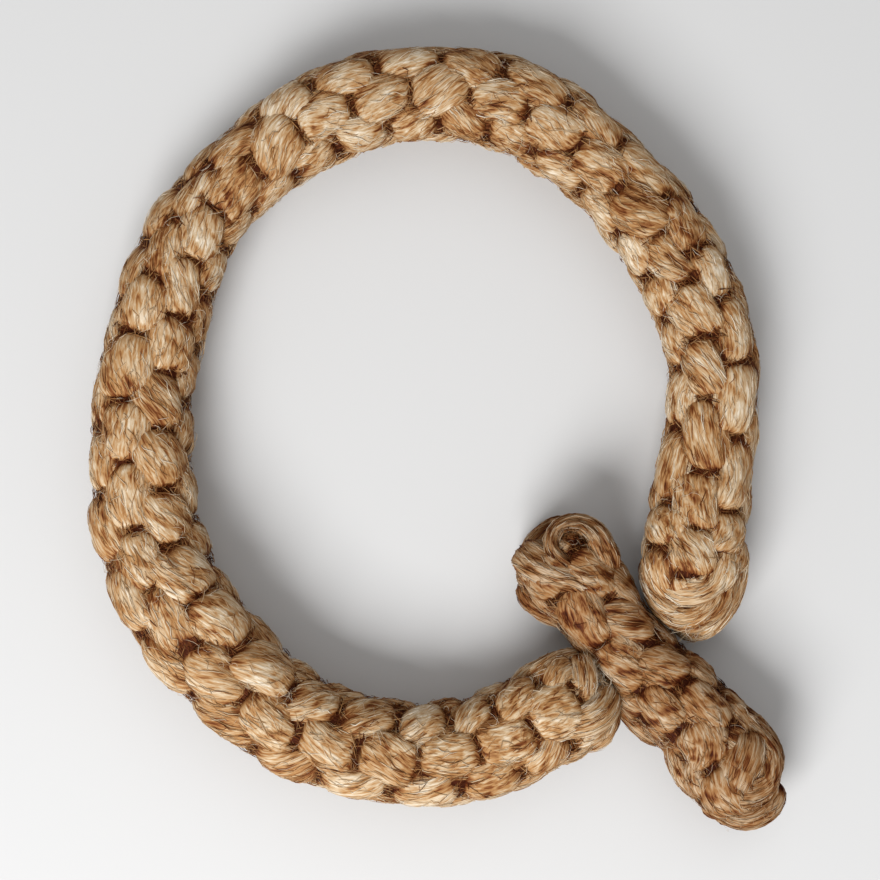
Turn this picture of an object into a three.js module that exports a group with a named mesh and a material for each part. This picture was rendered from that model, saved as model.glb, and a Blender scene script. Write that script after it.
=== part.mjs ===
// A ring of thick plaited jute rope, with a short length of the same rope lying across its gap.
// Millimetres, +Z up. The origin is on the floor, under the middle of the whole shape.
import * as THREE from "three";

// Driving dimensions of the plait.
const STITCH = 9; // length of one stitch along the rope
const COLUMNS = 8; // columns of stitches round the rope
const STEPS_PER_STITCH = 4;
const WIDE = 1.04; // width of the rope for one of thickness
const SQUARENESS = 2.5; // 2 gives a round section, and more squares it up
const CROWN = 0.04; // how far a stitch's middle stands out, for one of thickness
const GROOVE = 0.04; // how far the groove between two columns sinks, for one of thickness
const END_LENGTH = 5; // stretch over which each end rounds off
const END_FACE = 0.6; // width of the flat at each end, for one of the rope's

// Where each length of rope lies. Each point gives x, y and the rope's thickness there.
const RING_ROUTE = [
  [35.4, -24.6, 10.4],
  [35.4, -19, 14.2],
  [36.3, -11.5, 13.6],
  [37.4, -3.5, 13],
  [38.4, 4, 12.8],
  [38.4, 11, 12.9],
  [36.6, 18, 13],
  [33.6, 24.5, 13],
  [29.6, 30.5, 13],
  [25, 36, 12.4],
  [19.4, 41, 12.6],
  [12.8, 45.4, 13.2],
  [5, 47.8, 13.2],
  [-3, 48.3, 12.9],
  [-10.6, 46.9, 13.3],
  [-17.8, 43.9, 13],
  [-24.2, 39.5, 12.4],
  [-30, 34.6, 11.8],
  [-34.4, 28.6, 12.4],
  [-37.2, 21.8, 13.2],
  [-39.2, 15, 13.5],
  [-40.9, 8, 13.7],
  [-41.3, 1, 14.1],
  [-41.1, -6, 14.3],
  [-40.2, -13.2, 14.5],
  [-37.7, -20.2, 15.2],
  [-33.6, -26.6, 15.4],
  [-28.5, -32.4, 15],
  [-22.6, -37.8, 14.6],
  [-15.4, -41.4, 14.3],
  [-7.6, -43.4, 14.3],
  [0.5, -44, 14.3],
  [8.5, -42, 14.2],
  [15.5, -38.3, 14.4],
  [21.8, -34.4, 13.6],
];
const TAIL_ROUTE = [
  [14.6, -14.4, 13.4],
  [18.8, -19.2, 13.2],
  [22.6, -24.2, 12],
  [26.5, -29.1, 12],
  [30.6, -33.8, 12.8],
  [34.8, -38, 13.2],
  [38.6, -42.3, 13],
  [41.6, -47.8, 13.4],
  [44.2, -53.2, 13],
];

const jute = new THREE.MeshStandardMaterial({ color: 0xa1794f, roughness: 0.9, metalness: 0 });
const wornJute = new THREE.MeshStandardMaterial({ color: 0x8b633c, roughness: 0.9, metalness: 0 });

// The rope's middle line: the rope lies on the floor, so it is half the thickness up.
function middleLine(route) {
  const points = route.map(([x, y, thickness]) => new THREE.Vector3(x, y, thickness / 2));
  const line = new THREE.CatmullRomCurve3(points, false, "centripetal");
  line.arcLengthDivisions = 2000;
  return line;
}

// A round outline of unit radius, with one corner on each column and one on each groove.
function sectionOutline() {
  const corners = [];
  for (let i = 0; i < 2 * COLUMNS; i += 1) {
    const angle = (i * Math.PI) / COLUMNS;
    corners.push(new THREE.Vector2(Math.cos(angle), Math.sin(angle)));
  }
  return new THREE.Shape(corners);
}

// The rounded square's radius at an angle, for one of unit half width.
function squared(angle) {
  const across = Math.abs(Math.cos(angle)) ** SQUARENESS;
  const up = Math.abs(Math.sin(angle)) ** SQUARENESS;
  return (across + up) ** (-1 / SQUARENESS);
}

// How far the surface stands out at a corner of the section: the stitches of neighbouring
// columns are half a stitch apart, and the corners between them lie in the grooves.
function stitchRelief(corner, along) {
  if (corner % 2 === 0) {
    return -GROOVE;
  }
  const column = (corner - 1) / 2;
  const phase = along / STITCH + (column % 2) / 2;
  return CROWN * Math.cos(2 * Math.PI * phase);
}

// The rope's girth near its ends, for one of its full girth.
function endTaper(along, length) {
  const left = Math.min(along, length - along) / END_LENGTH;
  if (left >= 1) {
    return 1;
  }
  return END_FACE + (1 - END_FACE) * Math.sqrt(1 - (1 - left) ** 2);
}

// A length of plait: a plain tube swept along the middle line, whose corners are then moved out to
// the squared, quilted section. The corners nearest the floor all lie on it.
function plait(name, route, material) {
  const line = middleLine(route);
  const length = line.getLength();
  const steps = Math.round(length / STITCH) * STEPS_PER_STITCH;
  const geometry = new THREE.ExtrudeGeometry(sectionOutline(), {
    steps,
    bevelEnabled: false,
    extrudePath: line,
  });
  const stations = line.getSpacedPoints(steps);
  const corner = new THREE.Vector3();
  const positions = geometry.getAttribute("position");
  for (let i = 0; i < positions.count; i += 1) {
    corner.fromBufferAttribute(positions, i);
    const distances = stations.map((station) => station.distanceToSquared(corner));
    const nearest = distances.indexOf(Math.min(...distances));
    const middle = stations[nearest];
    const tangent = line.getTangentAt(nearest / steps);
    const aside = new THREE.Vector3(tangent.y, -tangent.x, 0).normalize();
    const turn = Math.atan2(corner.z - middle.z, corner.clone().sub(middle).dot(aside));
    const index = Math.round((turn * COLUMNS) / Math.PI + 4 * COLUMNS) % (2 * COLUMNS);
    const angle = (index * Math.PI) / COLUMNS;
    const along = (nearest / steps) * length;
    const girth = middle.z * endTaper(along, length);
    const radius = girth * (squared(angle) + 2 * stitchRelief(index, along));
    const onFloor = Math.sin(angle) < -0.9;
    corner.copy(middle).addScaledVector(aside, WIDE * radius * Math.cos(angle));
    corner.z = onFloor ? 0 : middle.z + radius * Math.sin(angle);
    positions.setXYZ(i, corner.x, corner.y, corner.z);
  }
  geometry.computeVertexNormals();
  const mesh = new THREE.Mesh(geometry, material);
  mesh.name = name;
  return mesh;
}

const rope = new THREE.Group();
rope.add(plait("ring_braid", RING_ROUTE, jute));
rope.add(plait("tail_braid", TAIL_ROUTE, wornJute));

export default rope;
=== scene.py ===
"""A ring of thick plaited jute rope, with a short length of the same rope lying across its gap.

The rope is an eight-strand square plait: four strands wind one way and four the other, each
passing over one and under one. The strands are modelled along their real run through the plait,
and jute fibres are laid on them, stray over them and fray from their ends.
"""

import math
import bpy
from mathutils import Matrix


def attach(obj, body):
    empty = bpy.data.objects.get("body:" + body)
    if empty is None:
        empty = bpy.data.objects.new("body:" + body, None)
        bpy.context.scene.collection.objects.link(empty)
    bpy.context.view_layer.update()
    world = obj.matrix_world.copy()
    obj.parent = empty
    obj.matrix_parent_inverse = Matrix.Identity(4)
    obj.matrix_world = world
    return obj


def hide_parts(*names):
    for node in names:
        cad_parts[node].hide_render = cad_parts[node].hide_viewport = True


bl_info = {
    "name": "Plaited Jute Rope",
    "version": (1, 0, 0),
    "blender": (4, 5, 0),
    "location": "3D View > Sidebar > Jute Rope",
    "description": "Builds a ring of plaited jute rope with its strands, fibres and frayed ends",
    "category": "Add Mesh",
}

import bpy
import numpy as np
from bpy.props import FloatProperty, FloatVectorProperty, IntProperty, PointerProperty
from bpy.types import Operator, Panel, PropertyGroup

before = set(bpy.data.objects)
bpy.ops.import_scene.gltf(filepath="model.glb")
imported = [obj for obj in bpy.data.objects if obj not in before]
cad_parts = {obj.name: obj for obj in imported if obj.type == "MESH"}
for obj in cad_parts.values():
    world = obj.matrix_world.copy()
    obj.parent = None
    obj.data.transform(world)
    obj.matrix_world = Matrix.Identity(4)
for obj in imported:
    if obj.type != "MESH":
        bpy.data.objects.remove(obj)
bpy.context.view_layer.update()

MM = 0.001

# Where each length of rope lies: x, y and the rope's thickness, all in metres.
RING_ROUTE = MM * np.array(
    [
        (35.4, -24.6, 10.4), (35.4, -19, 14.2), (36.3, -11.5, 13.6), (37.4, -3.5, 13),
        (38.4, 4, 12.8), (38.4, 11, 12.9), (36.6, 18, 13), (33.6, 24.5, 13), (29.6, 30.5, 13),
        (25, 36, 12.4), (19.4, 41, 12.6), (12.8, 45.4, 13.2), (5, 47.8, 13.2), (-3, 48.3, 12.9),
        (-10.6, 46.9, 13.3), (-17.8, 43.9, 13), (-24.2, 39.5, 12.4), (-30, 34.6, 11.8),
        (-34.4, 28.6, 12.4), (-37.2, 21.8, 13.2), (-39.2, 15, 13.5), (-40.9, 8, 13.7),
        (-41.3, 1, 14.1), (-41.1, -6, 14.3), (-40.2, -13.2, 14.5), (-37.7, -20.2, 15.2),
        (-33.6, -26.6, 15.4), (-28.5, -32.4, 15), (-22.6, -37.8, 14.6), (-15.4, -41.4, 14.3),
        (-7.6, -43.4, 14.3), (0.5, -44, 14.3), (8.5, -42, 14.2), (15.5, -38.3, 14.4),
        (21.8, -34.4, 13.6),
    ]
)
TAIL_ROUTE = MM * np.array(
    [
        (14.6, -14.4, 13.4), (18.8, -19.2, 13.2), (22.6, -24.2, 12), (26.5, -29.1, 12),
        (30.6, -33.8, 12.8), (34.8, -38, 13.2), (38.6, -42.3, 13), (41.6, -47.8, 13.4),
        (44.2, -53.2, 13),
    ]
)

# Where the creases lie along each length. Neighbouring columns take turns, so there is a crease
# every half stitch.
RING_CREASES = MM * np.array(
    [
        -2.5, 1.5, 6, 9.5, 12.5, 15.5, 20.5, 26, 30.5, 35.5, 39.5, 44, 47.5, 51, 55.5, 59, 64,
        68, 72, 76.5, 80.5, 85.5, 89, 93.5, 97.5, 101.5, 106, 110, 114, 118, 122, 126.5, 130.5,
        134.5, 138.5, 142.5, 147, 150.5, 155, 159.5, 163.5, 168, 172, 177, 180.5, 185, 189.5,
        194.5, 199, 204.5, 209, 213, 217.5, 221.5, 226.5, 230, 235, 238.5, 242.5, 246.5, 250,
        254, 258, 262,
    ]
)
TAIL_CREASES = MM * np.array(
    [-5, -1, 3.5, 7, 11.5, 16, 20, 24, 27.5, 31.5, 35.5, 39, 43.5, 48, 52]
)

# How far each length is rolled about its own line, in degrees towards its right-hand side, at
# lengths along it in millimetres.
RING_ROLL = np.array(
    [
        (0, 12), (20, 14), (35, 5), (45, 8), (58, 10), (70, 15), (112, 16), (125, 6), (140, -1),
        (155, -5), (165, -8), (177, -7), (190, -11), (200, -9), (212, -15), (225, -22), (257, -27),
    ]
)
TAIL_ROLL = np.array([(0, -1), (24, -2), (49, -4)])

# Bights of strand at the ends, in millimetres. Each point gives the length along the rope, the
# distance out to its right-hand side, the height above the floor and the strand's radius.
RING_BIGHTS = (
    [
        (12, 5.4, 7, 2), (6.5, 5.6, 7.4, 2.3), (2.2, 4.4, 7.6, 2.4), (-0.8, 2.2, 7, 2.3),
        (-2, 0.2, 5, 2),
    ],
    [
        (13, 3, 10.2, 2.1), (9, 3.1, 10.9, 2.4), (5.4, 1.9, 11.1, 2.6), (4.4, -0.6, 10.8, 2.7),
        (5.6, -2.8, 9.4, 2.4), (8.5, -4, 8, 2.2),
    ],
    [
        (10, 4.8, 8.2, 2), (5.4, 4, 9.2, 2.3), (1.6, 2.2, 9.6, 2.5), (0.3, -0.6, 9.3, 2.6),
        (1.8, -3.2, 8.2, 2.4), (5.2, -4.9, 7, 2.2), (9, -5.4, 6.2, 2),
    ],
    [
        (5, 4.8, 2.6, 2.2), (0.8, 3, 2.6, 2.3), (-0.2, 0, 2.6, 2.3), (1.8, -3, 2.6, 2.3),
        (6, -4.8, 2.6, 2.2),
    ],
    [
        (252, 4.6, 2.6, 2.2), (255.8, 3, 2.6, 2.3), (256.6, 0, 2.6, 2.3), (255.4, -3.2, 2.6, 2.3),
        (251, -4.6, 2.6, 2.2),
    ],
    [
        (2, 3.6, 6.2, 2), (-1.2, 2.2, 6.4, 2.1), (-1.7, 0.2, 6.2, 2), (0.6, -2, 5.6, 2),
        (3.6, -4.4, 5, 1.9),
    ],
    [
        (247.5, 0.6, 9.4, 2.2), (250.6, 1.6, 11.4, 2.5), (254, 2.8, 11.5, 2.8),
        (256.6, 2.4, 9.8, 2.5), (257, 0.8, 5, 2),
    ],
    [(250.5, 4.6, 6, 2.2), (253.4, 5.6, 7.6, 2.4), (255.8, 4.6, 7.4, 2.2), (257, 2.6, 5, 1.8)],
    [(252.4, 1.4, 9, 1.6), (254.3, 0, 11, 2), (256.1, -2.4, 10.6, 2.1), (257, -4.6, 8.6, 1.8)],
    [(246, -4.4, 8, 2.2), (250.5, -5, 9, 2.4), (254.8, -4.6, 8.4, 2.3), (257, -2.6, 6, 2)],
)
TAIL_BIGHTS = (
    [
        (10, -1, 9.4, 2.2), (6.5, 0.2, 10.5, 2.7), (3.6, 1.8, 10.6, 3), (1.2, 2.6, 9.4, 3),
        (-0.4, 2.8, 7.4, 2.8),
    ],
    [
        (12, 2.4, 5, 2), (9.4, 4, 5.8, 2.5), (6.8, 5.1, 6, 2.7), (4.4, 5.2, 5.2, 2.6),
        (2.6, 4.6, 4.4, 2.2),
    ],
    [
        (9.5, -4.8, 9, 1.6), (6.2, -5.4, 10.6, 1.9), (3.4, -6, 11.2, 1.7), (1, -5.4, 11.6, 1.2),
        (-0.3, -3.2, 11.8, 0.9), (0.5, -1, 12, 1), (2.7, -0.1, 12.2, 1.2), (6, -0.6, 11.6, 1.6),
    ],
    # An upright stump that fills the hollow of the cut end; its darkened top is painted shade
    # there.
    [(2, -3.2, 5, 2.2), (2, -3.2, 7, 2.4), (2, -3.2, 9, 2.4)],
    [
        (6, 4, 2.6, 2.2), (1.8, 3, 2.6, 2.3), (0.6, 0, 2.6, 2.3), (1.4, -3.2, 2.6, 2.3),
        (6, -4.6, 2.6, 2.2),
    ],
    [(43.4, 2.4, 10, 2.3), (41.8, 0.2, 11, 2.9), (39.8, -2.4, 10.8, 3), (37.8, -4.4, 9.2, 2.4)],
    [
        (34, -4.4, 8, 1.7), (38, -5.3, 9, 2), (41.8, -5.3, 9.8, 2.2), (44.2, -3, 10.6, 2.1),
        (44.4, 0, 11, 2.1), (42.6, 2.8, 10.4, 2),
    ],
    [(21.5, 4.2, 4.6, 1.9), (25, 5, 6, 2.3), (29, 5.1, 6.2, 2.4), (32.5, 4.2, 5, 2)],
    [
        (31.5, 3.3, 8.8, 1.8), (34, 4.3, 8.6, 2.2), (37.5, 5.2, 7.2, 2.5), (41, 4.9, 6, 2.3),
        (43.5, 3.6, 5, 2),
    ],
    [
        (43, 3.2, 5.4, 1.8), (45.8, 3, 6.8, 2.1), (47.9, 0.9, 7.6, 2.3), (47.9, -2.4, 7.4, 2.4),
        (45.8, -5, 6.2, 2.1),
    ],
    [
        (41, 4.2, 2.6, 2.2), (45.4, 2.8, 2.6, 2.3), (46.6, -0.8, 2.6, 2.3), (45, -4, 2.6, 2.3),
        (40.5, -4.6, 2.6, 2.2),
    ],
)

# The cut strand end in the tail's end, in millimetres: the length along the tail, the distance
# out to its right-hand side, the height of its rim and its radius.
CUT_END = (2, -3.1, 12, 2.3)

# Frayed tufts where the ring's ends meet the tail, in millimetres: where each starts and reaches
# (length along, distance aside, height), how far it spreads and how many fibres it has.
TUFTS = (
    ((254.6, 0, 12.2), (257.8, -3.6, 11), 1.3, 150),
    ((256.6, 0.5, 10.5), (258.6, -1.5, 10), 2.2, 80),
    ((256.6, 4, 7.5), (258.6, 3.4, 7.6), 1.4, 40),
    ((1, 1.5, 11.6), (-1.4, -1.5, 10.2), 2.4, 60),
    ((-1, 1.5, 8.4), (-2.9, -0.6, 7.4), 1.8, 50),
)

# Where each length's strands start and stop, as shares of its middle line, and the stretches
# over which its two ends round off.
RING_ENDS, RING_BLUNT = (0.006, 0.999), (6 * MM, 3 * MM)
TAIL_ENDS, TAIL_BLUNT = (0.01, 0.955), (3.5 * MM, 6 * MM)
END_GIRTH = 0.62  # of the rope at its very ends, for one of its full girth

# The plait. Lengths without a unit are shares of half the rope's thickness.
ROPE_THICKNESS = 14 * MM
WIDE = 1.0  # width of the rope for one of thickness
SQUARENESS = 2.5  # 2 gives a round section, and more squares it up
STRANDS_EACH_WAY = 4
TUCK = 0.36  # how far the lower flanks draw in under the upper ones
REACH_OUTSIDE, REACH_INSIDE = 0.73, 0.54  # from the rope's middle to a strand's
HALF_WIDTH = 0.545  # of a strand, measured round the rope
NARROWING = 0.04  # how much narrower a stitch is at its ends
BOW = 0.08  # how far a flank stitch's middle bows down from its ends, in radians
ARCH = 0.08  # how much further in a flank stitch's ends are than a top one's
HALF_DEPTH_OUTSIDE, HALF_DEPTH_INSIDE = 0.30, 0.25  # of a strand, outwards
CORE = 0.885  # reach of the matted core that shows down in the creases, coloured dark as painted shade there
SLANT = 0.12  # share of its quarter turn that a strand makes while it lies outside
DIVE_FROM = 0.475  # where a strand starts to cross under, in stitches from a stitch's middle
FULLNESS = 0.92  # 1 gives a strand an oval section, and less fills its corners out
RELIEF = 0.042  # height of the ridges where fibres bunch into locks
HOLD, FALL = 4.6, 0.52  # powers that hold a strand's reach over a stitch and drop it at its ends
RINGS, SIDES = 13, 26  # of a strand's mesh, for each stitch and round the strand
TABLE_ROWS, CURVE_STEPS = 40, 48  # for a stitch, and for a gap between a curve's points
SPARE_STITCHES = 3  # before the first crease and past the last, with values of their own
WIDTH_REACH = 0.8  # reach at which a strand's width is measured
BIGHT_BODY = 0.6  # share of a bight's half length that is open before it closes in

# How much stitches differ, as standard deviations: in place, girth, reach and lean.
SLIP, SWELL, RISE, LEAN = 0.02, 0.08, 0.025, 0.07

# Millimetres of strand for a radian round it and for a stitch along it.
LAY_ROUND, LAY_ALONG = 2.6, 8.5

# The core's mesh: its sides, and millimetres from one to the next and from ring to ring.
CORE_SIDES, CORE_ROUND, CORE_ALONG = 32, 1.4, 1.1

# How pale the jute is: 0 is its darkest colour and 1 its palest.
PALENESS, BIGHT_PALENESS = 0.675, 0.63  # between light and dark locks
# Painted shade: how much paler the locks are than the grooves between them.
LOCK_SHADE, BIGHT_LOCK_SHADE = 0.19, 0.23
DARKEST_PATCH, POLE_SHADE = 0.2, 0.2
PAINTED_END_SHADE = 0.17  # painted shade, from a stitch's middle to its ends, where they dive into the creases
CREASE_FROM, CREASE_OVER = 0.97, 0.14  # reach where the painted crease shade starts, and over how much it deepens
# Painted shade down in the creases, and where a bight runs into the rope.
PAINTED_CREASE_SHADE, PAINTED_BIGHT_END_SHADE = 0.4, 0.35

# Fibres. Radii and lengths are the least and the most in millimetres.
LAID_RADII, MATTED_RADII, HAIR_RADII = (0.03, 0.085), (0.04, 0.085), (0.015, 0.032)
TUFT_RADII, CUT_RADII = (0.03, 0.06), (0.05, 0.1)
MATTED_HALF_LENGTHS, HAIR_LENGTHS = (0.5, 1.6), (0.8, 3.6)
MATTED_REACHES = (0.86, 0.98)
LOOSE_SHARE = 0.1  # of the laid fibres lift off at one end
CUT_FIBRES = 420  # in the cut strand end

# The colours' places from darkest to palest.
COLOUR_STOPS = (0.0, 0.22, 0.47, 0.72, 1.0)

# The stage. Each lamp's name, azimuth and elevation in degrees, distance, width and power.
FLOOR_REACH = 3.0
SKY_STRENGTH = 0.42
LAMPS = (("key", 205, 46, 0.6, 0.34, 4.7), ("fill", 20, 60, 0.7, 0.6, 0.8))
LENS, SENSOR = 85, 36
VIEW_WIDTH = 123.2 * MM  # of what the camera takes in, halfway up the rope
CAMERA_ASIDE = (0.3 * MM, -0.2 * MM)


# ---------------------------------------------------------------------------
# Meshes


def add_mesh(name, points, quads, triangles, shades, material, lay=None):
    """One object at the origin from whole arrays: its points, its four- and three-sided faces, a
    shade for each point and, where given, the lay of the fibres as a UV pair for each corner."""
    mesh = bpy.data.meshes.new(name)
    corners = np.concatenate([quads.ravel(), triangles.ravel()]).astype(np.int32)
    starts = np.concatenate(
        [np.arange(len(quads)) * 4, 4 * len(quads) + np.arange(len(triangles)) * 3]
    ).astype(np.int32)
    mesh.vertices.add(len(points))
    mesh.vertices.foreach_set("co", points.astype(np.float32).ravel())
    mesh.loops.add(len(corners))
    mesh.loops.foreach_set("vertex_index", corners)
    mesh.polygons.add(len(starts))
    mesh.polygons.foreach_set("loop_start", starts)
    mesh.update(calc_edges=True)
    mesh.shade_smooth()
    shade = mesh.attributes.new("shade", "FLOAT", "POINT")
    shade.data.foreach_set("value", shades.astype(np.float32).ravel())
    if lay is not None:
        layer = mesh.uv_layers.new(name="Lay")
        layer.data.foreach_set("uv", lay.astype(np.float32).ravel())
    mesh.materials.append(material)
    made = bpy.data.objects.new(name, mesh)
    bpy.context.scene.collection.objects.link(made)
    return made


def tube_faces(count, rings, sides):
    """Faces of count tubes, each of so many rings of so many sides, with a pole at each end. A
    tube's points are its rings in order, then its first pole and its last."""
    ring, side = np.meshgrid(np.arange(rings - 1), np.arange(sides), indexing="ij")
    here = ring * sides + side
    beside = ring * sides + (side + 1) % sides
    quads = np.stack([here, here + sides, beside + sides, beside], axis=-1).reshape(-1, 4)
    around = np.arange(sides)
    following = (around + 1) % sides
    first, last = rings * sides, rings * sides + 1
    top = (rings - 1) * sides
    near = np.stack([np.full(sides, first), around, following], axis=-1)
    far = np.stack([np.full(sides, last), top + following, top + around], axis=-1)
    triangles = np.vstack([near, far])
    shift = (np.arange(count) * (rings * sides + 2))[:, None, None]
    return (quads + shift).reshape(-1, 4), (triangles + shift).reshape(-1, 3)


# The corners of each four-sided face of tube_faces: steps from its ring and from its side.
QUAD_CORNERS = ((0, 0), (1, 0), (1, 1), (0, 1))


def with_poles(grid):
    """The points of a grid's rings, then a pole in the middle of its first ring and its last."""
    poles = np.stack([grid[0].mean(axis=0), grid[-1].mean(axis=0)])
    return np.vstack([grid.reshape(-1, 3), poles])


def unit(vectors):
    """The same directions with a length of one."""
    return vectors / np.maximum(np.linalg.norm(vectors, axis=-1, keepdims=True), 1e-12)


def fibre_tubes(lines, radii):
    """Three-sided tubes along many lines at once. lines is fibres by points by xyz. Each ring
    stands square to its line, and each tube closes on the line's own two ends."""
    along = unit(np.gradient(lines, axis=1))
    upright = np.broadcast_to(np.array([0.13, 0.21, 0.97]), along.shape)
    aside = unit(np.cross(along, upright))
    up = np.cross(aside, along)
    turn = np.array([0, 1, 2]) * 2 * math.pi / 3 + math.pi / 2
    spoke = (
        np.cos(turn)[None, None, :, None] * aside[:, 1:-1, None, :]
        + np.sin(turn)[None, None, :, None] * up[:, 1:-1, None, :]
    )
    rings = lines[:, 1:-1, None, :] + radii[:, 1:-1, None, None] * spoke
    count, inner = rings.shape[:2]
    points = np.concatenate(
        [rings.reshape(count, inner * 3, 3), lines[:, :1], lines[:, -1:]], axis=1
    )
    quads, triangles = tube_faces(count, inner, 3)
    return points.reshape(-1, 3), quads, triangles


# ---------------------------------------------------------------------------
# Lines


def curve_through(points):
    """A centripetal Catmull-Rom curve through points, and the length along it. Columns past the
    third, such as a radius, are carried along."""
    beyond = 2 * points[[0, -1]] - points[[1, -2]]
    padded = np.vstack([beyond[:1], points, beyond[1:]])
    steps = np.diff(padded, axis=0)
    gaps = np.linalg.norm(steps[:, :3], axis=1)[:, None] ** 0.5
    slopes = steps / gaps
    chords = (padded[2:] - padded[:-2]) / (gaps[:-1] + gaps[1:])
    tangents = slopes[:-1] - chords + slopes[1:]
    leave, arrive = tangents[:-1] * gaps[1:-1], tangents[1:] * gaps[1:-1]
    t = np.linspace(0, 1, CURVE_STEPS, endpoint=False)[:, None, None]
    curve = (
        (2 * t**3 - 3 * t**2 + 1) * points[:-1]
        + (t**3 - 2 * t**2 + t) * leave
        + (3 * t**2 - 2 * t**3) * points[1:]
        + (t**3 - t**2) * arrive
    )
    curve = np.vstack([curve.transpose(1, 0, 2).reshape(-1, points.shape[1]), points[-1:]])
    pace = np.linalg.norm(np.diff(curve[:, :3], axis=0), axis=1)
    return curve, np.concatenate([[0], np.cumsum(pace)])


def above_floor(points):
    """The same points, with what would lie under the floor flattened softly onto it."""
    give = 0.5 * MM
    points[..., 2] = (points[..., 2] + np.sqrt(points[..., 2] ** 2 + give**2)) / 2
    return points


class MiddleLine:
    """A rope's middle line as a table against the length along it, half the rope's thickness
    above the floor. It runs straight on past both its ends."""

    def __init__(self, route, ends, blunt):
        self.points, self.along = curve_through(np.column_stack([route[:, :2], route[:, 2] / 2]))
        self.length = self.along[-1]
        self.ends = np.array(ends) * self.length
        self.blunt = blunt
        self.forward = unit(np.gradient(self.points[:, :2], self.along, axis=0))

    def at(self, along):
        """The middle, the sideways direction and half the thickness at lengths along the rope."""
        columns = np.column_stack([self.points, self.forward]).T
        x, y, z, ahead_x, ahead_y = [np.interp(along, self.along, column) for column in columns]
        past = along - np.clip(along, 0, self.length)
        middle = np.stack([x + past * ahead_x, y + past * ahead_y, z], axis=-1)
        aside = np.stack([ahead_y, -ahead_x, np.zeros_like(x)], axis=-1)
        near, far = (along - self.ends[0]) / self.blunt[0], (self.ends[1] - along) / self.blunt[1]
        left = np.clip(np.minimum(near, far), 0, 1)
        taper = END_GIRTH + (1 - END_GIRTH) * np.sqrt(1 - (1 - left) ** 2)
        return middle, unit(aside), z * taper

    def place(self, along, turn, reach):
        """Points from rope coordinates: the length along it, the angle from straight up towards
        its side, and the reach from its middle for one of half its thickness. The section is a
        rounded square, |across|^n + |up|^n = 1, whose lower flanks are tucked in."""
        middle, aside, half = self.at(along)
        square = np.abs(np.sin(turn)) ** SQUARENESS + np.abs(np.cos(turn)) ** SQUARENESS
        tuck = 1 - TUCK * np.clip(-np.cos(turn), 0, 1) ** 0.5 * np.abs(np.sin(turn))
        radius = half * reach * tuck * square ** (-1 / SQUARENESS)
        out = middle + aside * (WIDE * radius * np.sin(turn))[..., None]
        out[..., 2] = middle[..., 2] + radius * np.cos(turn)
        return above_floor(out)

    def beside(self, route):
        """Points given by the length along the rope, the distance aside and the height."""
        middle, aside, _ = self.at(route[:, 0])
        out = middle + aside * route[:, 1:2]
        out[:, 2] = route[:, 2]
        return out


# ---------------------------------------------------------------------------
# Strands


def eased(values, at):
    """One value for each stitch, held over its middle and eased into the next one's."""
    whole = np.clip(np.floor(at).astype(int), 0, len(values) - 2)
    part = np.clip(at - whole, 0, 1)
    part = part * part * (3 - 2 * part)
    return values[whole] * (1 - part) + values[whole + 1] * part


class Lay:
    """How the fibres lie on a strand, against the length along it in stitches: the slope they
    take in each stitch, the ridges where they bunch into locks, and the dark patches."""

    def __init__(self, count, dirt, rng):
        self.dirt = dirt
        self.slope = rng.normal(0.35, 0.55, count)
        self.tone = rng.normal(0, 0.06, count)
        self.phase = rng.uniform(0, 2 * math.pi, 6)

    def number(self, at):
        """The row of slope and tone that holds for the stitch at each place."""
        return np.clip(np.round(at).astype(int) + SPARE_STITCHES, 0, len(self.slope) - 1)

    def across(self, at, around):
        """The place across the lay: it stays the same along each fibre."""
        off = at - np.round(at)
        return around - self.slope[self.number(at)] * off

    def tones(self, at):
        """How much paler or darker each stitch is than the next."""
        return eased(self.tone, at + SPARE_STITCHES)

    def locks(self, at, around):
        """The height of the ridges, from about -1 to 1: round locks with sharp grooves between
        them, and two finer sets of waves across the lay, which all wander along it."""
        lay = self.across(at, around)
        a, b, c, _, e, f = self.phase
        return (
            1.1 * (np.abs(np.sin(2 * lay + a + 0.7 * np.sin(1.9 * at + e))) ** 0.7 - 0.7)
            + 0.27 * np.sin(9 * lay + b + 1.5 * np.sin(3.3 * at + f))
            + 0.2 * np.sin(15 * lay + c - 1.4 * np.sin(4.9 * at))
        )

    def patches(self, at, around):
        """How much darker the jute is, in patches drawn out along the lay: coarse waves along it
        times waves that cross them, and finer ones of the same kind, cut off at a level."""
        lay = self.across(at, around)
        _, b, c, d, e, f = self.phase
        coarse = np.sin(4 * lay + 3 * at + d + np.sin(7 * at + b)) * np.sin(6 * lay - 8 * at + c)
        fine = np.sin(13 * lay + 9 * at + e) * np.sin(17 * at + 5 * lay + f)
        return self.dirt * np.clip(coarse + 0.6 * fine - 0.1, 0, 0.8)


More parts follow.
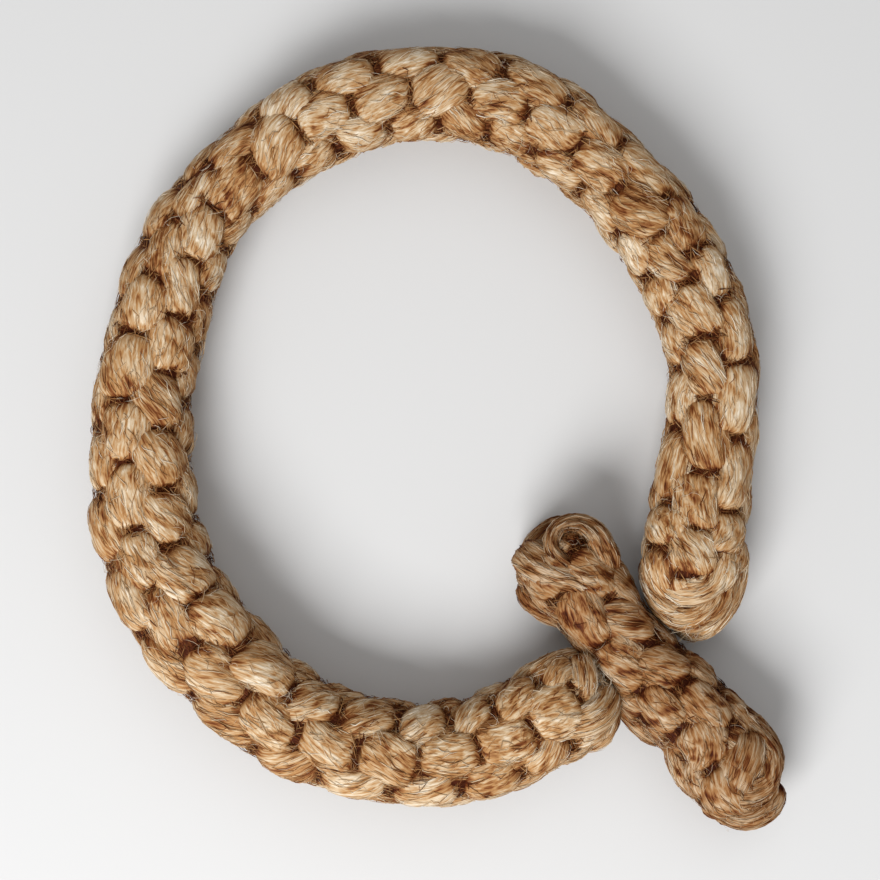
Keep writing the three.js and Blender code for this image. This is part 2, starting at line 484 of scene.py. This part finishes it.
class Strand:
    """One strand's run through the plait, against the length along it in stitches: its angle
    round the rope, its reach, and half its width and depth. It stays outside for a stitch, then
    dives and crosses under the next column, a quarter turn for each stitch. Its reach holds over
    a stitch and falls steeply at both ends: one less the distance from the middle to the power
    HOLD, all to the power FALL. Each stitch is a little fatter or slimmer and longer or shorter
    than the next."""

    def __init__(self, line, creases, roll, dirt, way, number, rng):
        self.line = line
        creases = creases[1::2] if way > 0 else creases[::2]
        numbers = np.arange(len(creases)) + way / 2
        count = len(creases) + 2 * SPARE_STITCHES
        slip = rng.normal(0, SLIP, count)
        swell = rng.normal(1, SWELL, count)
        rise = rng.normal(0, RISE, count)
        lean = rng.normal(0, LEAN, count)
        self.lay = Lay(count, dirt, rng)
        self.first, self.last = np.interp(line.ends, creases, numbers)
        rows = int((self.last - self.first) * TABLE_ROWS)
        self.at = np.linspace(self.first, self.last, rows)
        slip, swell, rise, lean = [
            eased(values, self.at + SPARE_STITCHES) for values in (slip, swell, rise, lean)
        ]
        middle = np.round(self.at)
        off = self.at - middle
        crossing = np.clip((np.abs(off) - DIVE_FROM) / (0.5 - DIVE_FROM), 0, 1)
        crossing = crossing * crossing * (3 - crossing) / 2
        turned = middle + SLANT * off + (1 - SLANT) / 2 * np.sign(off) * crossing
        quarter = math.pi / 2
        self.along = np.interp(self.at + slip, numbers, creases)
        self.turn = (
            way * quarter * (turned + number)
            + (quarter / 4 if way > 0 else 3 * quarter / 4)
            + np.radians(np.interp(self.along / MM, roll[:, 0], roll[:, 1]))
            + lean
        )
        flank = np.sin(self.turn)
        self.turn = self.turn + BOW * flank * (1 - (2 * off) ** 2)
        outside = (1 - np.abs(2 * off) ** HOLD) ** FALL
        self.reach = REACH_INSIDE + (REACH_OUTSIDE - REACH_INSIDE) * outside
        self.reach = self.reach + rise * outside - ARCH * (flank * 2 * off) ** 2
        self.width = HALF_WIDTH * (1 - NARROWING * np.abs(2 * off) ** 3) * swell
        depth = HALF_DEPTH_INSIDE + (HALF_DEPTH_OUTSIDE - HALF_DEPTH_INSIDE) * outside
        self.depth = depth * (0.5 + 0.5 * swell)

    def shown(self, each):
        """The middle of each stitch, and how many fibres it gets: fewer underneath."""
        middles = np.arange(math.ceil(self.first - 0.3), math.floor(self.last + 0.3) + 1)
        facing = np.cos(np.interp(middles, self.at, self.turn))
        return middles, (each * np.where(facing < -0.6, 0.3, 1)).astype(int)

    def run(self, at, around, lift):
        """The strand's angle and reach at points on it, lifted off it by a share of half the
        rope's thickness. around goes round the strand, and a quarter turn is its outermost line.
        The section is an oval bent round the rope, filled out by raising its cosine and its sine
        to the power FULLNESS."""
        turn, reach, width, depth = [
            np.interp(at, self.at, values)
            for values in (self.turn, self.reach, self.width, self.depth)
        ]
        ending = np.abs(2 * (at - np.round(at))) ** 5
        lift = lift + RELIEF * (1 + 1.2 * ending) * self.lay.locks(at, around)
        across, out = np.cos(around), np.sin(around)
        reach = reach - 0.05 * across**2 * ending
        across = np.sign(across) * np.abs(across) ** FULLNESS
        out = np.sign(out) * np.abs(out) ** FULLNESS
        return turn + (width + lift) * across / WIDTH_REACH, reach + (depth + lift) * out

    def surface(self, at, around, lift):
        """Points on the strand."""
        turn, reach = self.run(at, around, lift)
        return self.line.place(np.interp(at, self.at, self.along), turn, reach)

    def shade(self, at, around):
        """How pale the jute is: paler on the locks and darker in the grooves between them, towards
        a stitch's ends and down in the creases, all of it painted shade."""
        _, reach = self.run(at, around, 0)
        # Painted shade: darker the deeper the jute lies down in a crease.
        crease_shade = np.clip((CREASE_FROM - reach) / CREASE_OVER, 0, 1)
        # Painted shade towards a stitch's ends.
        ending = (2 * (at - np.round(at))) ** 2
        # Painted shade: paler on the locks and darker in the grooves between them.
        lit_lock_tone = PALENESS + LOCK_SHADE * self.lay.locks(at, around)
        lit_lock_tone = np.maximum(lit_lock_tone - self.lay.patches(at, around), DARKEST_PATCH)
        return lit_lock_tone - PAINTED_END_SHADE * ending - PAINTED_CREASE_SHADE * crease_shade + self.lay.tones(at)


class Bight:
    """A bight of strand at an end of the rope: a round strand along a curve, against the length
    along it in stitches, whose two ends run back into the rope."""

    def __init__(self, line, route, stitch, dirt, rng):
        route = MM * np.array(route)
        curve, along = curve_through(np.column_stack([line.beside(route), route[:, 3]]))
        self.first, self.last = 0, along[-1] / stitch
        self.at = along / stitch
        self.points, self.radius = curve[:, :3], curve[:, 3]
        ahead = unit(np.gradient(self.points, axis=0))
        sides = [unit(np.cross(ahead[0], (0.05, 0.08, 1)))]
        for direction in ahead[1:]:
            side = sides[-1] - direction * np.dot(sides[-1], direction)
            sides.append(unit(side))
        self.side = np.array(sides)
        self.up = np.cross(self.side, ahead)
        self.lay = Lay(int(self.last) + 8, dirt, rng)

    def shown(self, each):
        """Places along the bight half a stitch apart, and how many fibres each gets."""
        middles = np.arange(0.25, self.last, 0.5)
        return middles, np.full(len(middles), each // 2)

    def closed(self, at):
        """0 along the bight's open part, rising evenly to 1 at each of its ends."""
        share = np.abs(2 * at / self.last - 1)
        return np.clip(share - BIGHT_BODY, 0, 1) / (1 - BIGHT_BODY)

    def surface(self, at, around, lift):
        """Points on the bight, which rounds off at both its ends."""
        columns = np.column_stack([self.points, self.side, self.up, self.radius]).T
        values = np.stack([np.interp(at, self.at, column) for column in columns], axis=-1)
        closing = np.sqrt(np.clip(1 - self.closed(at) ** 2.5, 0.02, 1))
        relief = lift + RELIEF * self.lay.locks(at, around)
        radius = values[..., 9] * closing + ROPE_THICKNESS / 2 * relief
        across = (radius * np.cos(around))[..., None] * values[..., 3:6]
        out = (radius * np.sin(around))[..., None] * values[..., 6:9]
        return above_floor(values[..., :3] + across + out)

    def shade(self, at, around):
        """How pale the jute is: paler on the locks and darker in the grooves between them and
        where the bight runs in, all painted shade.
        """
        # Painted shade: paler on the locks and darker in the grooves between them.
        lit_lock_tone = BIGHT_PALENESS + BIGHT_LOCK_SHADE * self.lay.locks(at, around)
        lit_lock_tone = np.maximum(lit_lock_tone - self.lay.patches(at, around), DARKEST_PATCH)
        return lit_lock_tone - PAINTED_BIGHT_END_SHADE * self.closed(at) + self.lay.tones(at)


def lay_strands(line, creases, roll, dirt, rng):
    """The eight strands of a length of plait."""
    return [
        Strand(line, creases, roll, dirt, way, number, rng)
        for way in (1, -1)
        for number in range(STRANDS_EACH_WAY)
    ]


def strand_rings(strand):
    """Places for the mesh's rings along a strand, closer together near its creases."""
    ahead = np.arange(RINGS) / RINGS - 0.5
    ahead = 0.4 * np.sin(math.pi * ahead) + 0.2 * ahead
    whole = np.arange(math.floor(strand.first), math.ceil(strand.last) + 1)
    at = (whole[:, None] + ahead).ravel()
    inner = at[(at > strand.first + 0.01) & (at < strand.last - 0.01)]
    return np.concatenate([[strand.first], inner, [strand.last]])


def strand_mesh(name, strands, material):
    """Many strands as one mesh. Each is a grid along and around the strand that closes on a pole
    at each end, with most of its sides where it faces out."""
    points, shades, lays, quads, triangles = [], [], [], [], []
    offset = 0
    outer = int(SIDES * 0.75)
    facing = np.linspace(math.radians(-35), math.radians(215), outer, endpoint=False)
    back = np.linspace(math.radians(215), math.radians(325), SIDES - outer, endpoint=False)
    around = np.concatenate([facing, back])[None, :]
    closed = np.append(around[0], around[0, 0] + 2 * math.pi)
    for strand in strands:
        at = strand_rings(strand)[:, None]
        rings = len(at)
        points.append(with_poles(strand.surface(at + 0 * around, around + 0 * at, 0)))
        shade = strand.shade(at + 0 * around, around + 0 * at)
        shades.append(np.concatenate([shade.ravel(), [POLE_SHADE] * 2]))
        four, three = tube_faces(1, rings, SIDES)
        quads.append(four + offset)
        triangles.append(three + offset)
        ring, side = np.meshgrid(np.arange(rings - 1), np.arange(SIDES), indexing="ij")
        middle = (at[ring, 0] + at[ring + 1, 0]) / 2
        slope = strand.lay.slope[strand.lay.number(middle)]
        corners = []
        for ahead, beside in QUAD_CORNERS:
            place = at[ring + ahead, 0]
            lay = closed[side + beside] - slope * (place - np.round(middle))
            corners += [LAY_ROUND * lay, LAY_ALONG * place]
        lays.append(np.stack(corners, axis=-1).reshape(-1, 2))
        offset += rings * SIDES + 2
    lay = np.vstack(lays + [np.zeros((3 * sum(map(len, triangles)), 2))])
    parts = np.vstack(points), np.vstack(quads), np.vstack(triangles), np.concatenate(shades)
    return add_mesh(name, *parts, material, lay)


def core_mesh(name, line, rng, material):
    """The matted core inside the strands: a tube along the rope's middle line, a little rough,
    that closes on a pole at each end. Its dark colour is painted shade down in the creases."""
    along = np.arange(line.ends[0] + 2 * MM, line.ends[1] - 2 * MM, CORE_ALONG * MM)[:, None]
    turn = np.linspace(0, 2 * math.pi, CORE_SIDES, endpoint=False)[None, :]
    reach = CORE + rng.normal(0, 0.015, (len(along), CORE_SIDES))
    points = with_poles(line.place(along + 0 * turn, turn + 0 * along, reach))
    quads, triangles = tube_faces(1, len(along), CORE_SIDES)
    # Near the darkest colours: painted shade where the core shows in the creases.
    shades = rng.uniform(-0.16, 0.16, len(points))
    ring, side = np.meshgrid(np.arange(len(along) - 1), np.arange(CORE_SIDES), indexing="ij")
    corners = []
    for ahead, beside in QUAD_CORNERS:
        corners += [CORE_ROUND * (side + beside), CORE_ALONG * (ring + ahead)]
    lay = np.stack(corners, axis=-1).reshape(-1, 2)
    lay = np.vstack([lay, np.zeros((3 * len(triangles), 2))])
    return add_mesh(name, points, quads, triangles, shades, material, lay)


# ---------------------------------------------------------------------------
# Fibres


def laid_fibres(strand, each, rng):
    """Lines of the fibres that lie on one strand: each follows the lay at its own place around
    the strand, at a slant of its own, and sinks in at both ends or lifts off at one."""
    middles, counts = strand.shown(each)
    middle = np.repeat(middles, counts)
    total = len(middle)
    middle = middle + rng.uniform(-0.42, 0.42, total)
    half = rng.uniform(0.08, 0.27, total)
    start = rng.uniform(math.radians(-12), math.radians(192), total)
    slope = strand.lay.slope[strand.lay.number(middle)] + rng.normal(0, 0.5, total)
    sway = rng.normal(0, 0.06, total)
    lift = rng.uniform(-0.003, 0.016, total)
    loose = np.where(rng.random(total) < LOOSE_SHARE, rng.uniform(0.01, 0.06, total), 0)
    end = rng.choice([-1, 1], total)
    t = np.linspace(-1, 1, 5)[None, :]
    at = np.clip(middle[:, None] + half[:, None] * t, strand.first, strand.last)
    around = start[:, None] + (slope * half)[:, None] * t
    around = around + sway[:, None] * np.sin(3 * t + 7 * start[:, None])
    height = lift[:, None] - 0.02 * np.abs(t) ** 6
    height = height + loose[:, None] * np.clip(end[:, None] * t, 0, 1) ** 3
    lines = strand.surface(at, around, height)
    radii = (MM * rng.uniform(*LAID_RADII, total))[:, None] * (1 - 0.5 * t**2)
    shades = strand.shade(at, around) + rng.normal(0, 0.17, total)[:, None]
    return lines, radii, shades


def crease_fibres(strand, each, rng):
    """Lines of the matted fibres that bridge the creases between a strand's stitches. Each
    crosses the crease at a slant, part of the way down it, and is coloured dark, darker the deeper
    it lies, as painted shade in the crease."""
    middles, counts = strand.shown(each)
    crease = np.repeat(middles[:-1] + 0.5, counts[:-1])
    total = len(crease)
    t = np.linspace(-1, 1, 4)[None, :]
    slant = rng.normal(0, 1.1, total)
    half = MM * rng.uniform(*MATTED_HALF_LENGTHS, total)
    turn = np.interp(crease - 0.5, strand.at, strand.turn) + rng.uniform(-0.6, 0.6, total)
    along = np.interp(crease + rng.normal(0, 0.06, total), strand.at, strand.along)
    along = along[:, None] + (half * np.cos(slant))[:, None] * t
    turns = turn[:, None] + (half * np.sin(slant) / (6 * MM))[:, None] * t
    depth = rng.uniform(*MATTED_REACHES, total)
    sag = rng.uniform(-0.05, 0.03, total)
    reach = depth[:, None] + sag[:, None] * (1 - t**2)
    lines = strand.line.place(np.clip(along, 0, strand.line.length), turns, reach)
    radii = (MM * rng.uniform(*MATTED_RADII, total))[:, None] * (1 - 0.4 * t**2)
    # Painted shade: dark fibres, darker the deeper they lie in the crease.
    shades = (rng.uniform(-0.1, 0.45, total) + 1.6 * (depth - 0.91))[:, None] + 0 * t
    return lines, radii, shades


def stray_hairs(line, count, rng):
    """Lines of loose hairs that cross the stitches: each leaves the surface at a slant, arches
    over and comes back down."""
    length = MM * rng.uniform(*HAIR_LENGTHS, count)
    slant = rng.uniform(-math.pi, math.pi, count)
    bend = rng.normal(0, 0.5, count)
    start = rng.uniform(0, line.length, count)
    turn = rng.uniform(-1.75, 1.75, count)
    arch = rng.uniform(-0.03, 0.03, count)
    t = np.linspace(-1, 1, 5)[None, :]
    heading = slant[:, None] + bend[:, None] * t
    along = start[:, None] + length[:, None] / 2 * t * np.cos(heading)
    along = np.clip(along, 0, line.length)
    turns = turn[:, None] + length[:, None] / (13 * MM) * t * np.sin(heading)
    reach = 0.96 + (0.045 + arch[:, None]) * (1 - t**2)
    lines = line.place(along, turns, reach)
    radii = (MM * rng.uniform(*HAIR_RADII, count))[:, None] * (1 - 0.4 * t**2)
    shades = rng.normal(0.85, 0.12, count)[:, None] + 0 * t
    return lines, radii, shades


def tuft(line, start, reached, spread, count, rng):
    """Lines of a frayed tuft: its fibres start close together, spread as they run to where the
    tuft reaches, and curl there."""
    start, reached = line.beside(MM * np.array([start, reached]))
    t = np.linspace(0, 1, 8)[None, :, None]
    root = start + MM * rng.normal(0, 0.7, (count, 3)) * (1, 1, 0.5)
    tip = reached + MM * spread * rng.normal(0, 0.5, (count, 3)) * (1, 1, 0.4)
    tip = root + (tip - root) * rng.uniform(0.5, 1.1, (count, 1))
    curl = MM * rng.normal(0, 0.7, (count, 3)) * (1, 1, 0.5)
    lines = root[:, None] + (tip - root)[:, None] * t + curl[:, None] * np.sin(math.pi * t * 1.4)
    radii = (MM * rng.uniform(*TUFT_RADII, count))[:, None] * (1 - 0.5 * t[..., 0])
    shades = rng.normal(0.8, 0.2, count)[:, None] - 0.15 * (1 - t[..., 0])
    return above_floor(lines), radii, shades


def tufts(line, rng):
    """All the ring's tufts."""
    return [tuft(line, *each, rng) for each in TUFTS]


def cut_end(line, rng):
    """Lines of the short fibre ends that stand in the hollow of the cut strand end, dark at their
    feet and paler towards their tips, as painted shade in the hollow.
    """
    along, aside, height, radius = CUT_END
    angle = rng.uniform(0, 2 * math.pi, CUT_FIBRES)
    share = np.sqrt(rng.random(CUT_FIBRES))
    foot = np.column_stack(
        [
            along + radius * share * np.cos(angle),
            aside + radius * share * np.sin(angle),
            np.full(CUT_FIBRES, height - 2.2),
        ]
    )
    root = line.beside(MM * foot)
    t = np.linspace(0, 1, 6)[None, :, None]
    tall = MM * (1.9 + 1.5 * share**2 + rng.normal(0, 0.3, CUT_FIBRES))
    lean = MM * rng.normal(0, 0.45, (CUT_FIBRES, 3))
    rise = tall[:, None, None] * t * (0, 0, 1)
    lines = root[:, None] + rise + lean[:, None] * t**2
    radii = (MM * rng.uniform(*CUT_RADII, CUT_FIBRES))[:, None] * (1 - 0.3 * t[..., 0])
    # Painted shade: darkest at the fibres' feet, down in the hollow.
    shades = 0.5 * t[..., 0] * rng.uniform(0, 1, CUT_FIBRES)[:, None]
    return [(lines, radii, shades)]


def fibre_mesh(name, groups, material):
    """One mesh of many fibres, from groups of lines, radii and shades."""
    points, quads, triangles, shades = [], [], [], []
    offset = 0
    for lines, radii, shade in groups:
        found, four, three = fibre_tubes(lines, radii)
        points.append(found)
        quads.append(four + offset)
        triangles.append(three + offset)
        rings = np.repeat(shade[:, 1:-1], 3, axis=1)
        shades.append(np.concatenate([rings, shade[:, :1], shade[:, -1:]], axis=1).ravel())
        offset += len(found)
    parts = np.vstack(points), np.vstack(quads), np.vstack(triangles), np.concatenate(shades)
    return add_mesh(name, *parts, material)


# ---------------------------------------------------------------------------
# Materials


def linear(code):
    """An sRGB hex colour such as #c8a46e as linear red, green, blue and alpha."""
    parts = [int(code[i : i + 2], 16) / 255 for i in (1, 3, 5)]
    return [c / 12.92 if c <= 0.04045 else ((c + 0.055) / 1.055) ** 2.4 for c in parts] + [1]


def add_node(tree, kind, links=(), sockets=(), **settings):
    """A node with its settings, its sockets' values, and links into it from other sockets."""
    node = tree.nodes.new(kind)
    for key, value in settings.items():
        setattr(node, key, value)
    for socket, value in sockets:
        node.inputs[socket].default_value = value
    for socket, source in links:
        tree.links.new(source, node.inputs[socket])
    return node


def jute(name, colours, laid):
    """Raw jute, retted and spun without bleaching or wax. It is golden brown and uneven, dull
    with a faint lustre along the fibres, and its fibres part into pale and dark streaks.
    laid is True for strands, whose UV map gives the lay of the fibres in millimetres."""
    material = bpy.data.materials.new(name)
    material.use_nodes = True
    tree = material.node_tree
    tree.nodes.clear()
    shade = add_node(tree, "ShaderNodeAttribute", attribute_name="shade")
    value = shade.outputs["Fac"]
    height = None
    if laid:
        lay = add_node(tree, "ShaderNodeUVMap", uv_map="Lay")
        # Fibre bundles are about 0.2 mm wide and stay in view for 2 mm or so.
        fine = add_node(
            tree,
            "ShaderNodeMapping",
            links=[("Vector", lay.outputs["UV"])],
            sockets=[("Scale", (5.0, 0.5, 1.0))],
        )
        streaks = add_node(
            tree,
            "ShaderNodeTexNoise",
            links=[("Vector", fine.outputs["Vector"])],
            sockets=[("Scale", 1.0), ("Detail", 3.0), ("Roughness", 0.6), ("Distortion", 0.4)],
        )
        height = streaks.outputs["Fac"]
        spread = add_node(
            tree,
            "ShaderNodeMapRange",
            links=[("Value", height)],
            sockets=[("From Min", 0.3), ("From Max", 0.7), ("To Min", -0.34), ("To Max", 0.26)],
        )
        mixed = add_node(
            tree,
            "ShaderNodeMath",
            operation="ADD",
            links=[(0, value), (1, spread.outputs["Result"])],
            use_clamp=True,
        )
        value = mixed.outputs["Value"]
    # The shade attribute carries painted shade in the creases, grooves and stitch ends, as well as
    # the jute's own tone.
    ramp = add_node(tree, "ShaderNodeValToRGB", links=[("Fac", value)])
    stops = ramp.color_ramp.elements
    while len(stops) < len(colours):
        stops.new(0.5)
    for stop, (position, colour) in zip(stops, colours):
        stop.position = position
        stop.color = (*colour, 1)
    principled = add_node(
        tree,
        "ShaderNodeBsdfPrincipled",
        links=[("Base Color", ramp.outputs["Color"])],
        sockets=[("Roughness", 0.6), ("Specular IOR Level", 0.08)],
    )
    if height is not None:
        bump = add_node(
            tree,
            "ShaderNodeBump",
            links=[("Height", height)],
            sockets=[("Strength", 0.7), ("Distance", 0.25 * MM)],
        )
        tree.links.new(bump.outputs["Normal"], principled.inputs["Normal"])
    add_node(
        tree,
        "ShaderNodeOutputMaterial",
        links=[("Surface", principled.outputs["BSDF"])],
    )
    return material


# ---------------------------------------------------------------------------
# Settings and operators


def colour_setting(name, description, code):
    """A colour that a user of the add-on would change."""
    return FloatVectorProperty(
        name=name,
        description=description,
        subtype="COLOR",
        size=3,
        min=0,
        max=1,
        default=linear(code)[:3],
    )


class RopeSettings(PropertyGroup):
    """Sizes and colours that a user of the add-on would change."""

    stitch: FloatProperty(
        name="Stitch",
        description="Length of strand that makes one stitch in the bights at the ends",
        default=8.5 * MM,
        subtype="DISTANCE",
        unit="LENGTH",
    )
    fibres: IntProperty(
        name="Fibres",
        description="Fibres laid on each stitch that shows",
        default=102,
        min=2,
    )
    # The matted fibres are coloured dark as painted shade in the creases.
    matted: IntProperty(
        name="Matted Fibres",
        description="Dark fibres down in each crease that shows",
        default=62,
        min=4,
    )
    hairs: IntProperty(
        name="Stray Hairs",
        description="Loose hairs on the ring",
        default=1700,
        min=10,
    )
    dirt: FloatProperty(
        name="Dirt",
        description="Depth of the ring's dark patches",
        default=0.36,
        min=0,
        max=1,
    )
    tail_dirt: FloatProperty(
        name="Tail Dirt",
        description="Depth of the short length's dark patches",
        default=0.62,
        min=0,
        max=1,
    )
    seed: IntProperty(name="Seed", description="Picks another rope of the same kind", default=3)
    # The darkest two colours stand for painted shade, in the creases and in the grooves between
    # locks, and the colour on top of the locks for painted light.
    crease_shade: colour_setting("Deep", "Jute down in the creases", "#3f1705")
    shaded: colour_setting("Shaded", "Jute in the grooves between locks", "#6d3c1a")
    body: colour_setting("Body", "Most of the jute", "#a1774a")
    lit_lock_tone: colour_setting("Worn", "Jute on top of the locks", "#bba383")
    pale: colour_setting("Pale", "The palest fibres and hairs", "#d9cdba")
    tail_tint: colour_setting("Tail Tint", "Tints the short length", "#e0d6ce")


def build_rope(
    name, line, creases, roll, bights, tint, dirt, hairs, share, frayed, seed, settings
):
    """A length of plait: its strands in one mesh, and its fibres in others that go with it. Each
    mesh of fibres holds those of share strands. frayed makes the loose fibres at its ends."""
    rng = np.random.default_rng(seed)
    strands = lay_strands(line, creases, roll, dirt, rng)
    turned = [Bight(line, bight, settings.stitch, dirt, rng) for bight in bights]
    tones = (settings.crease_shade, settings.shaded, settings.body, settings.lit_lock_tone, settings.pale)
    tones = [tuple(np.array(tone) * np.array(tint)) for tone in tones]
    colours = list(zip(COLOUR_STOPS, tones))
    stranded = jute(f"{name} lay", colours, True)
    haired = jute(f"{name} fibre", colours, False)
    body = strand_mesh(f"{name}_strands", strands, stranded)
    pieces = [strand_mesh(f"{name}_end_strands", turned, stranded)]
    for first in range(0, len(strands), share):
        chosen = [laid_fibres(strand, settings.fibres, rng) for strand in strands[first:][:share]]
        pieces.append(fibre_mesh(f"{name}_fibres_{first // share + 1}", chosen, haired))
    chosen = [laid_fibres(bight, 3 * settings.fibres // 2, rng) for bight in turned]
    pieces.append(fibre_mesh(f"{name}_end_fibres", chosen + frayed(line, rng), haired))
    chosen = [crease_fibres(strand, settings.matted, rng) for strand in strands]
    pieces.append(fibre_mesh(f"{name}_crease_fibres", chosen, haired))
    pieces.append(core_mesh(f"{name}_core", line, rng, stranded))
    pieces.append(fibre_mesh(f"{name}_hairs", [stray_hairs(line, hairs, rng)], haired))
    for piece in [body] + pieces:
        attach(piece, "root")
    return body, pieces


class ROPE_OT_ring(Operator):
    """Build the long length of rope, laid in an open ring"""

    bl_idname = "rope.ring"
    bl_label = "Ring"

    def execute(self, context):
        settings = context.scene.jute_rope
        line = MiddleLine(RING_ROUTE, RING_ENDS, RING_BLUNT)
        body, pieces = build_rope(
            "ring",
            line,
            RING_CREASES,
            RING_ROLL,
            RING_BIGHTS,
            tint=(1, 1, 1),
            dirt=settings.dirt,
            hairs=settings.hairs,
            share=2,
            frayed=tufts,
            seed=settings.seed,
            settings=settings,
        )
        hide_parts("ring_braid")
        return {"FINISHED"}


class ROPE_OT_tail(Operator):
    """Build the short length of rope that lies across the ring's gap"""

    bl_idname = "rope.tail"
    bl_label = "Crossing Length"

    def execute(self, context):
        settings = context.scene.jute_rope
        body, pieces = build_rope(
            "tail",
            MiddleLine(TAIL_ROUTE, TAIL_ENDS, TAIL_BLUNT),
            TAIL_CREASES,
            TAIL_ROLL,
            TAIL_BIGHTS,
            tint=settings.tail_tint,
            dirt=settings.tail_dirt,
            hairs=settings.hairs // 4,
            share=8,
            frayed=cut_end,
            seed=settings.seed + 1,
            settings=settings,
        )
        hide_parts("tail_braid")
        return {"FINISHED"}


class ROPE_OT_stage(Operator):
    """Build the floor, the lamps and the camera"""

    bl_idname = "rope.stage"
    bl_label = "Stage"

    def execute(self, context):
        scene = context.scene
        floor_mesh = bpy.data.meshes.new("floor")
        corners = FLOOR_REACH * np.array([(-1, -1, 0), (1, -1, 0), (1, 1, 0), (-1, 1, 0)])
        floor_mesh.from_pydata(corners.tolist(), [], [(0, 1, 2, 3)])
        floor = bpy.data.objects.new("floor", floor_mesh)
        scene.collection.objects.link(floor)
        paper = bpy.data.materials.new("pale paper")
        paper.use_nodes = True
        surface = paper.node_tree.nodes["Principled BSDF"]
        surface.inputs["Base Color"].default_value = linear("#c6c6c6")
        surface.inputs["Roughness"].default_value = 0.9
        floor_mesh.materials.append(paper)

        world = bpy.data.worlds.new("soft room")
        world.use_nodes = True
        sky = world.node_tree.nodes["Background"]
        sky.inputs["Color"].default_value = (1, 1, 1, 1)
        sky.inputs["Strength"].default_value = SKY_STRENGTH
        scene.world = world
        scene.view_settings.view_transform = "Standard"

        for name, azimuth, elevation, distance, across, power in LAMPS:
            lamp = bpy.data.lights.new(name, "AREA")
            lamp.size = across
            lamp.energy = power
            held = bpy.data.objects.new(name, lamp)
            a, e = math.radians(azimuth), math.radians(elevation)
            place = distance * np.array(
                [math.sin(a) * math.cos(e), math.cos(a) * math.cos(e), math.sin(e)]
            )
            held.location = place
            held.rotation_euler = (math.pi / 2 - e, 0, math.pi - a)
            scene.collection.objects.link(held)

        lens = bpy.data.cameras.new("camera")
        lens.lens = LENS
        lens.sensor_width = SENSOR
        distance = VIEW_WIDTH / (SENSOR / LENS)
        camera = bpy.data.objects.new("camera", lens)
        camera.location = (*CAMERA_ASIDE, distance + ROPE_THICKNESS / 2)
        scene.collection.objects.link(camera)
        scene.camera = camera
        return {"FINISHED"}


class ROPE_PT_panel(Panel):
    """The rope's settings and its parts"""

    bl_idname = "ROPE_PT_panel"
    bl_label = "Jute Rope"
    bl_space_type = "VIEW_3D"
    bl_region_type = "UI"
    bl_category = "Jute Rope"

    def draw(self, context):
        settings = context.scene.jute_rope
        for key in settings.__annotations__:
            self.layout.prop(settings, key)
        for operator in OPERATORS:
            self.layout.operator(operator.bl_idname)


OPERATORS = (ROPE_OT_stage, ROPE_OT_ring, ROPE_OT_tail)
CLASSES = (RopeSettings,) + OPERATORS + (ROPE_PT_panel,)


def register():
    for item in CLASSES:
        bpy.utils.register_class(item)
    bpy.types.Scene.jute_rope = PointerProperty(type=RopeSettings)


def unregister():
    del bpy.types.Scene.jute_rope
    for item in reversed(CLASSES):
        bpy.utils.unregister_class(item)


def main():
    register()
    bpy.ops.rope.stage()
    bpy.ops.rope.ring()
    bpy.ops.rope.tail()


if __name__ == "__main__":
    main()
